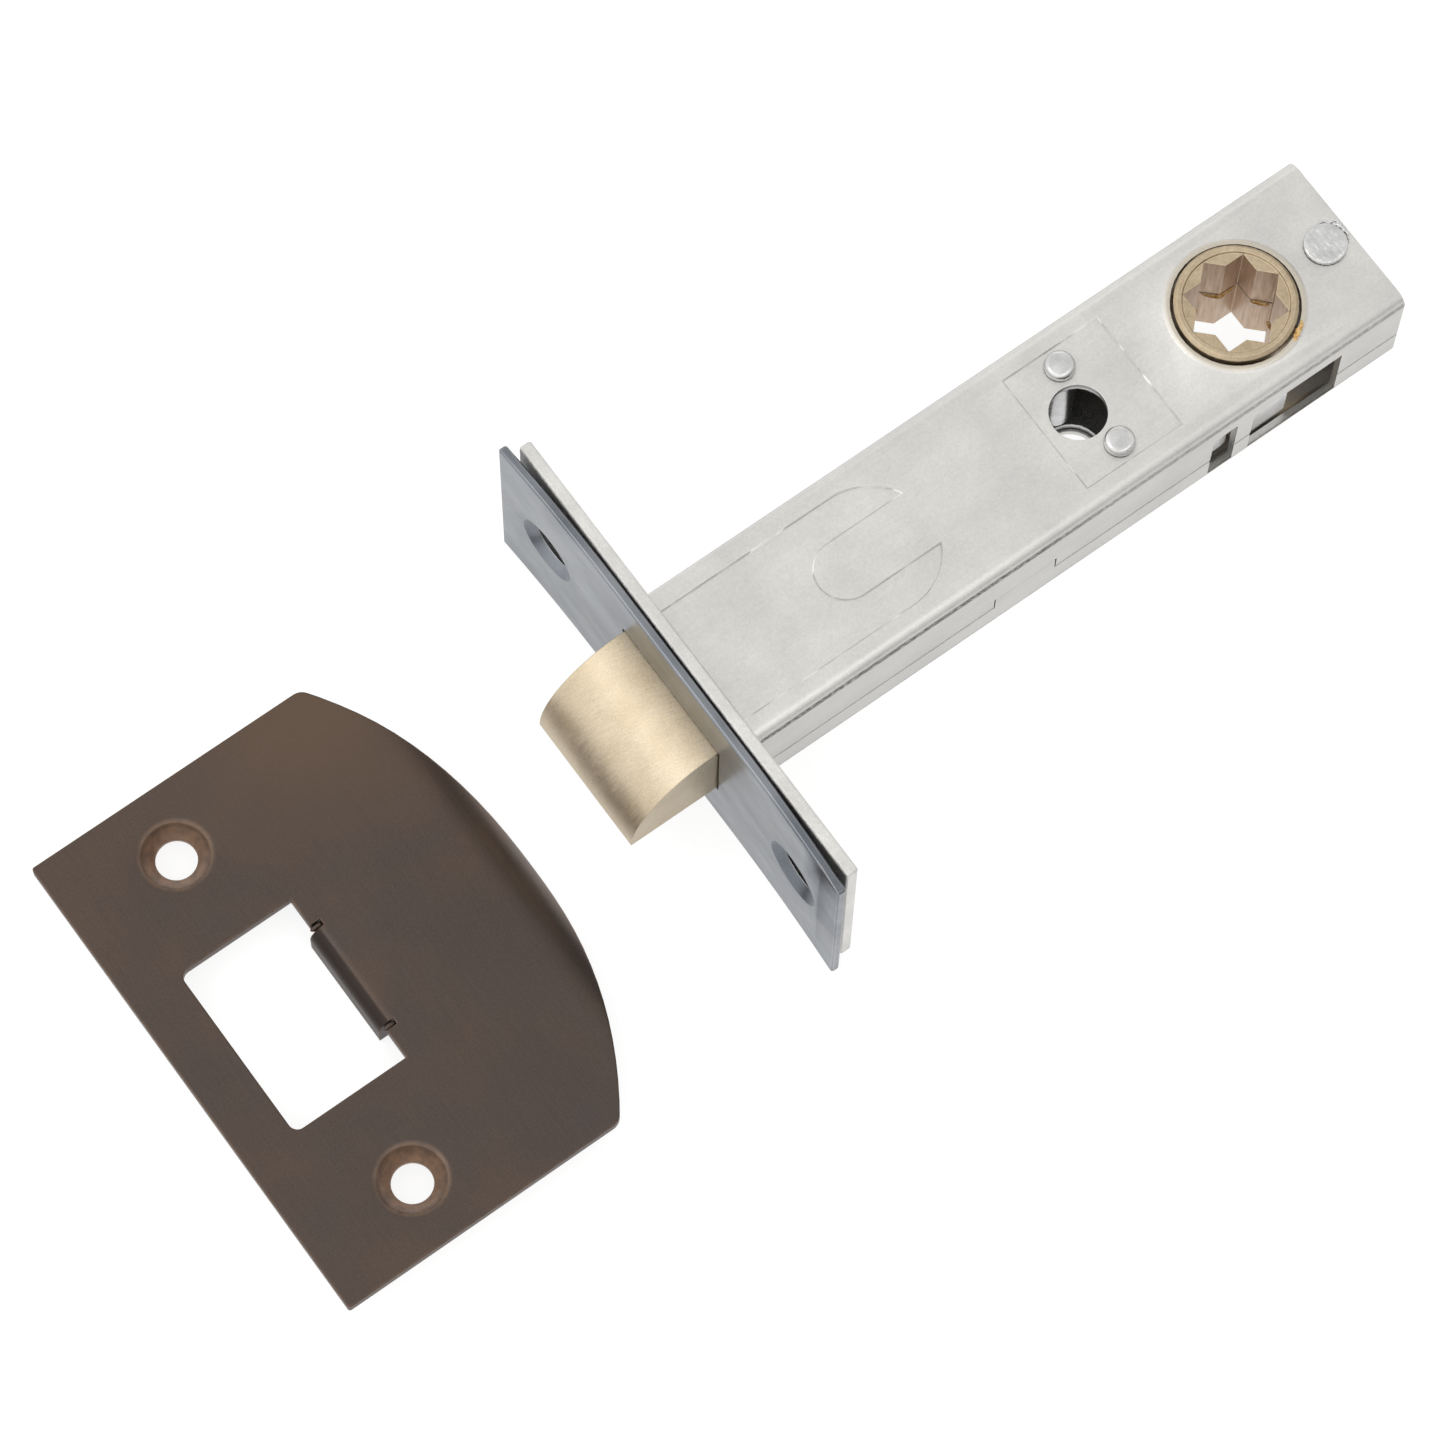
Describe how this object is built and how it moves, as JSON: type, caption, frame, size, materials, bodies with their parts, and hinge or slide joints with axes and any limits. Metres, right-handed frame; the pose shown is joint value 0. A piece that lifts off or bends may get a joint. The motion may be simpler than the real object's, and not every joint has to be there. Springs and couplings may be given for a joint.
{
  "type": "tubular mortice latch",
  "caption": "Rectangular-case tubular mortice door latch with a bevelled sprung bolt, split follower, forend plates and a D-lip strike plate",
  "frame": {"origin": "on the bolt's axis, in the back face of the rear forend plate, where the latch is held in the door's mortice", "axes": "+X along the case to its rear end, so the bolt points to -X; +Y along the forend; +Z through the door's thickness, toward the bolt's curved side"},
  "size_m": [0.1444, 0.0583, 0.025],
  "materials": {
    "zinc_steel": "bright zinc plated, fine grain",
    "satin_plate": "satin, bluish passivated zinc",
    "brass": "brushed pale brass",
    "steel": "bright zinc plated",
    "spring_steel": "drawn spring wire",
    "antique_bronze": "dark antique bronze, lacquered, rubbed lighter at edges"
  },
  "bodies": {
    "case": {"case_upper_shell": "zinc_steel", "case_lower_shell": "zinc_steel", "forend_plate": "zinc_steel", "face_plate": "satin_plate", "anchor_bracket": "steel", "guide_rivet_left": "steel", "guide_rivet_right": "steel", "guide_sleeve_left": "steel", "guide_sleeve_right": "steel", "rear_rivet": "steel", "rear_spacer": "steel", "return_spring_left": "spring_steel", "return_spring_right": "spring_steel"},
    "lower_follower": {"follower_lower": "brass"},
    "upper_follower": {"follower_upper": "brass"},
    "draw_frame_body": {"draw_frame": "steel", "bolt_spring": "spring_steel"},
    "bolt": {"latch_bolt": "brass", "bolt_tail": "steel", "tail_pin": "steel", "tail_washer": "steel"},
    "strike": {"strike_plate": "antique_bronze"}
  },
  "joints": [
    {"name": "follower_turn", "type": "hinge", "parent": "case", "child": "lower_follower", "pos_m": [0.0674, 0, 0], "axis": [0, 0, 1], "range_deg": [0, 70]},
    {"name": "upper_follower_turn", "type": "hinge", "parent": "case", "child": "upper_follower", "pos_m": [0.0674, 0, 0], "axis": [0, 0, 1], "range_deg": [0, 70]},
    {"name": "draw_frame_slide", "type": "slide", "parent": "case", "child": "draw_frame_body", "axis": [1, 0, 0], "range_m": [0, 0.01], "stiffness_N_per_m": 800, "springref_m": -0.015, "deforming": ["return_spring_left", "return_spring_right"]},
    {"name": "bolt_slide", "type": "slide", "parent": "draw_frame_body", "child": "bolt", "axis": [1, 0, 0], "range_m": [0, 0.01], "stiffness_N_per_m": 100, "springref_m": -0.015, "deforming": ["bolt_spring"]},
    {"name": "strike_lift", "type": "slide", "parent": "case", "child": "strike", "axis": [0, 0, 1], "range_m": [0, 0.04]}
  ],
  "couplings": [
    {"joint": "follower_turn", "follows": "draw_frame_slide", "rad_per_m": 122.17},
    {"joint": "upper_follower_turn", "follows": "draw_frame_slide", "rad_per_m": 122.17}
  ]
}
